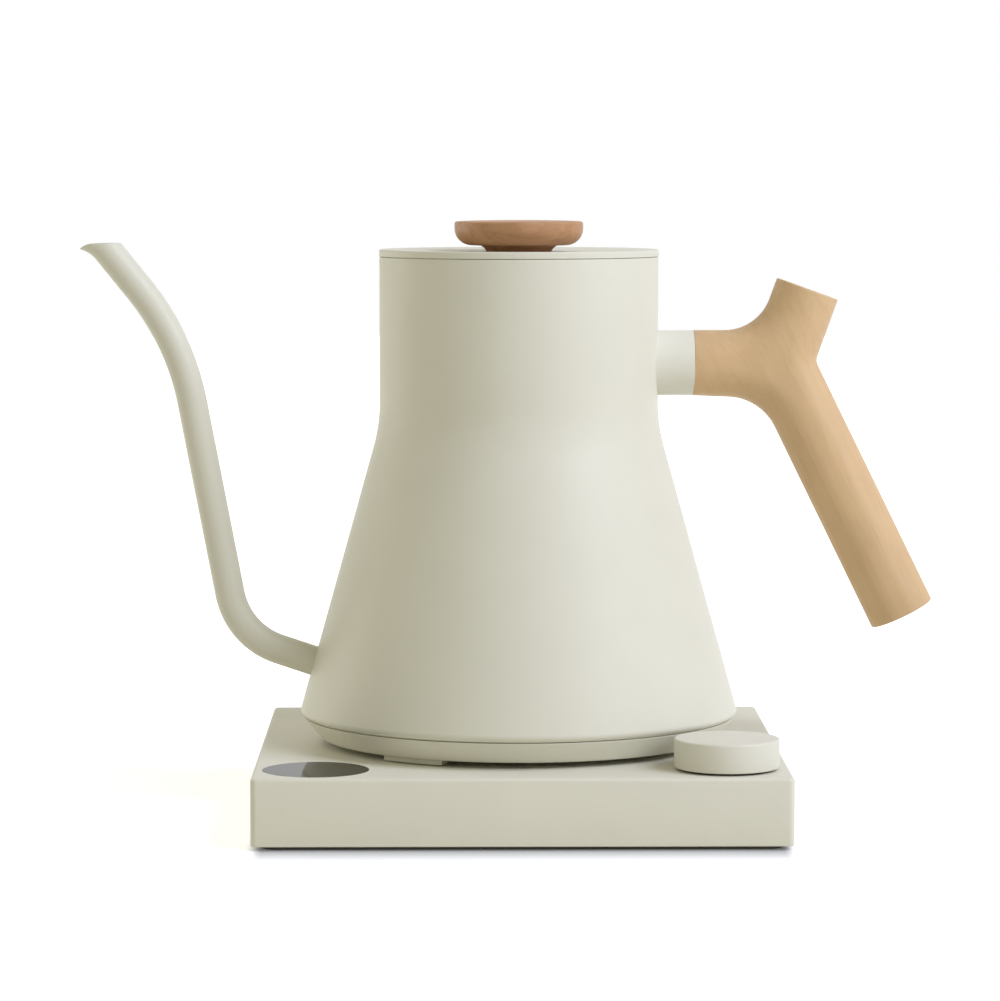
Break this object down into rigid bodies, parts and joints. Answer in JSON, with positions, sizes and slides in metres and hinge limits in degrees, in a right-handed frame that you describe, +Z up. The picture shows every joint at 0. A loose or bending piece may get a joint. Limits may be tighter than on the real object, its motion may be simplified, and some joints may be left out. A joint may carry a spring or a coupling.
{
  "type": "electric gooseneck kettle",
  "caption": "Gooseneck kettle with a lift-off lid, branched wooden handle and wooden lid knob, on a square powered base with a display and a push dial.",
  "frame": {"origin": "centre of the foot ring's resting plane, on the kettle's upright axis", "axes": "+Z up, -X towards the spout, +X towards the handle, -Y towards the face with the dial and the display"},
  "size_m": [0.2896, 0.175, 0.2012],
  "materials": {
    "base_paint": "fine matte, off-white",
    "body_paint": "matte powder coat, off-white, on steel",
    "spout_paint": "matte powder coat, off-white, on steel",
    "cap_paint": "matte powder coat, off-white",
    "collar_paint": "matte powder coat, off-white",
    "lid_paint": "matte powder coat, off-white",
    "dial_paint": "matte, off-white",
    "foot_pad": "matte, off-white",
    "dark_plastic": "moulded, near-black",
    "rotor_plastic": "moulded, natural white",
    "relay_case": "moulded case",
    "winding": "taped winding",
    "circuit_board": "glass fibre board with solder mask",
    "lead_red": "silicone sleeve",
    "cable_grey": "flat cable",
    "foot_rubber": "matte rubber",
    "seal_rubber": "silicone rubber",
    "seal_silicone": "translucent silicone rubber",
    "steel": "zinc plated",
    "bare_steel": "bare stainless",
    "plate_aluminium": "pressed",
    "contact_brass": "bare",
    "cutout_ceramic": "fired body",
    "display_glass": "dark smoked, flush",
    "handle_wood": "light oiled maple",
    "knob_wood": "redder oiled wood"
  },
  "bodies": {
    "base": {"base_housing": "base_paint", "base_plate": "dark_plastic", "foot_ring": "foot_rubber", "plate_screws": "steel", "base_connector": "dark_plastic", "connector_screws": "steel", "contact_springs": "contact_brass", "display_lens": "display_glass", "display_module": "dark_plastic", "control_board": "circuit_board", "buzzer": "dark_plastic", "encoder_body": "steel", "encoder_nut": "steel", "dial_board": "circuit_board", "power_board": "circuit_board", "relay": "relay_case", "transformer": "winding", "capacitor": "dark_plastic", "terminal_block": "relay_case", "board_screws": "steel", "cord_gland": "foot_rubber", "cord_clamp": "dark_plastic", "clamp_screws": "steel", "base_leads": "lead_red", "signal_cable": "cable_grey"},
    "dial_rotor": {"encoder_rotor": "rotor_plastic"},
    "dial": {"encoder_shaft": "steel", "dial_hub": "dark_plastic", "dial_knob": "dial_paint"},
    "kettle": {"kettle_body": "body_paint", "spout_tube": "spout_paint", "kettle_floor": "bare_steel", "heat_spreader": "plate_aluminium", "heater_tube": "bare_steel", "floor_studs": "bare_steel", "thermal_cutout": "cutout_ceramic", "temperature_probe": "bare_steel", "probe_seal": "seal_rubber", "kettle_connector": "dark_plastic", "connector_pins": "contact_brass", "kettle_leads": "lead_red", "bottom_cap": "cap_paint", "cap_screws": "steel", "kettle_feet": "foot_pad", "handle_collar": "collar_paint", "handle_stud": "bare_steel", "handle_insert": "contact_brass", "handle": "handle_wood"},
    "lid": {"lid_cap": "lid_paint", "lid_plug": "bare_steel", "lid_seal": "seal_silicone", "lid_knob": "knob_wood", "knob_screw": "steel", "knob_insert": "contact_brass"}
  },
  "joints": [
    {"name": "dial_turn", "type": "hinge", "parent": "base", "child": "dial_rotor", "pos_m": [0.0668, -0.0668, 0.017], "axis": [0, 0, 1], "continuous": true},
    {"name": "dial_press", "type": "slide", "parent": "dial_rotor", "child": "dial", "axis": [0, 0, -1], "range_m": [0, 0.0005], "stiffness_N_per_m": 1500, "springref_m": -0.0005},
    {"name": "kettle_lift", "type": "slide", "parent": "base", "child": "kettle", "axis": [0, 0, 1], "range_m": [0, 0.08]},
    {"name": "lid_lift", "type": "slide", "parent": "kettle", "child": "lid", "axis": [0, 0, 1], "range_m": [0, 0.06]}
  ]
}
